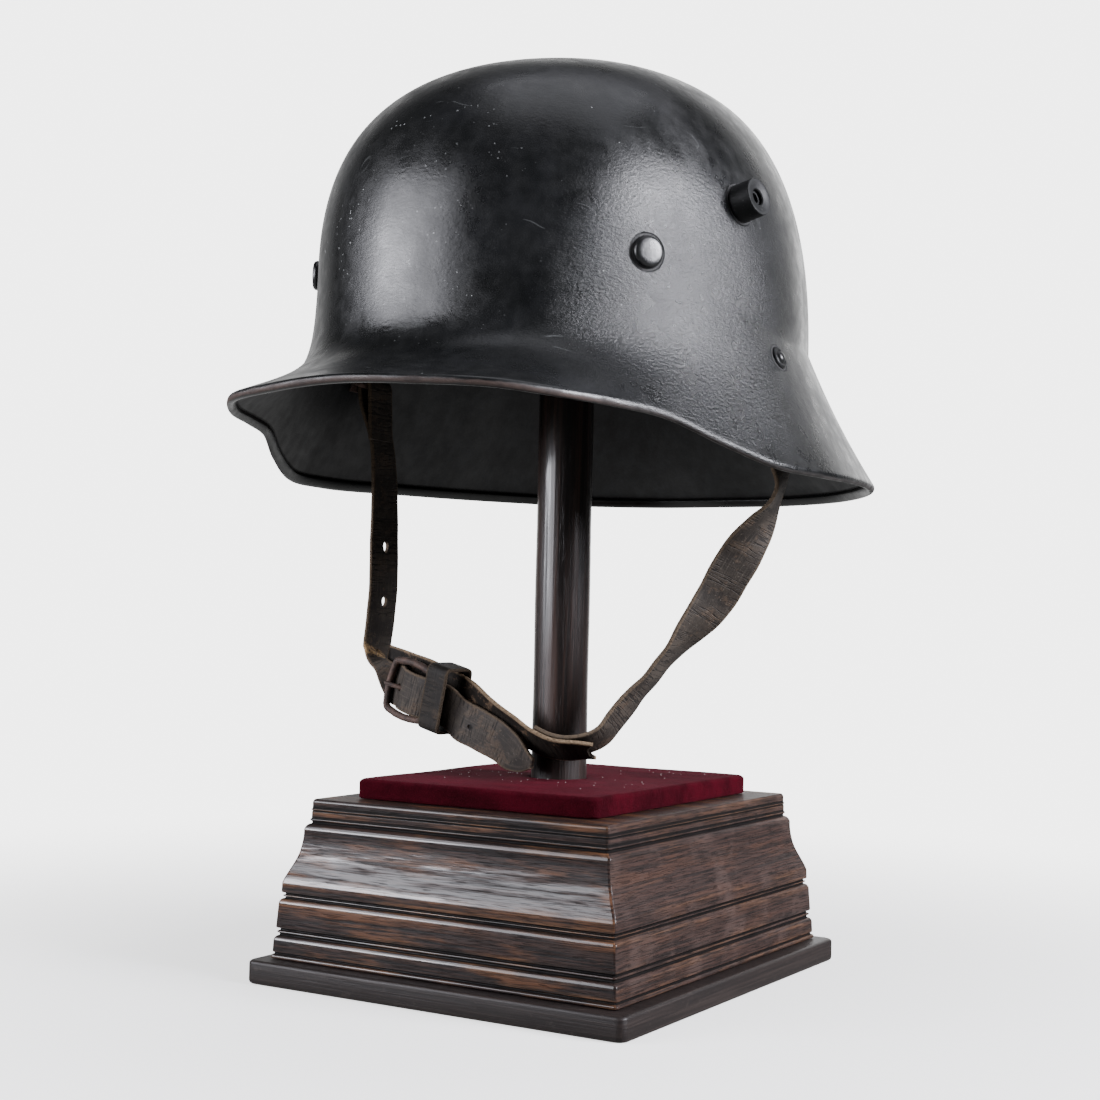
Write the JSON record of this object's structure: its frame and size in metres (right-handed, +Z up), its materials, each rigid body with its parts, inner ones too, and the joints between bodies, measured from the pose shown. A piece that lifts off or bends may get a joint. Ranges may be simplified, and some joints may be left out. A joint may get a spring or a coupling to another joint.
{
  "type": "steel helmet on wooden display stand",
  "caption": "Steel helmet with visor, flared neck guard and vent lugs, its leather chin strap buckled, resting on a wooden post over a moulded plinth with a velvet pad.",
  "frame": {"origin": "centre of the plinth's underside", "axes": "+Z up, -Y towards the visor, +X towards the wearer's left"},
  "size_m": [0.245, 0.3134, 0.3794],
  "materials": {
    "black_paint": "worn semi-gloss black",
    "strap_leather": "dry, worn grey-brown",
    "rusty_iron": "brown rust",
    "dark_wood": "glossy dark lacquer",
    "red_velvet": "short burgundy pile"
  },
  "bodies": {
    "root": {"shell": "black_paint", "rivet_front_left": "black_paint", "rivet_front_right": "black_paint", "rivet_rear": "black_paint", "vent_lug_left": "black_paint", "vent_lug_right": "black_paint", "strap_lug_left": "rusty_iron", "strap_lug_right": "rusty_iron", "strap_guard": "strap_leather", "strap_left": "strap_leather", "strap_right": "strap_leather", "buckle_frame": "rusty_iron", "buckle_prong": "rusty_iron", "buckle_chape": "strap_leather", "strap_keeper": "strap_leather", "post": "dark_wood", "post_cap": "dark_wood", "plinth_slab": "dark_wood", "plinth_body": "dark_wood", "velvet_pad": "red_velvet"}
  },
  "joints": []
}
